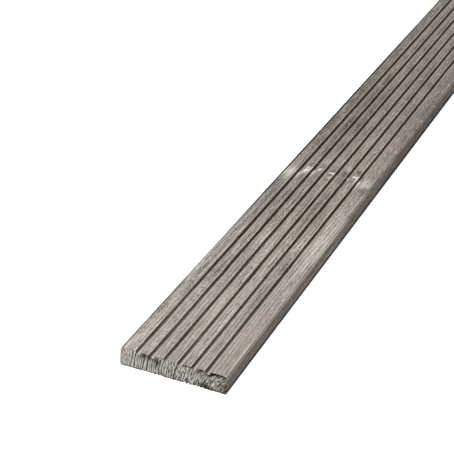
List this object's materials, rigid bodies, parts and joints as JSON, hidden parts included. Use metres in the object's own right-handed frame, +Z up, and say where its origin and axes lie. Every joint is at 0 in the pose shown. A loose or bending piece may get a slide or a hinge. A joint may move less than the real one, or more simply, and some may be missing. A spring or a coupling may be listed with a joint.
{
  "type": "decking board",
  "caption": "Straight softwood decking board with wide drainage grooves along its upper face, fine grip grooves along its underside and rounded long edges, weathered grey.",
  "frame": {"origin": "middle of the underside, on the plane the board lies on", "axes": "+X across the board, +Y along its length, +Z up through its thickness to the wide-grooved face"},
  "size_m": [0.145, 2.4, 0.027],
  "materials": {
    "weathered_softwood": "planed pressure-treated pine, weathered grey, matt"
  },
  "bodies": {
    "root": {"decking_board": "weathered_softwood"}
  },
  "joints": []
}
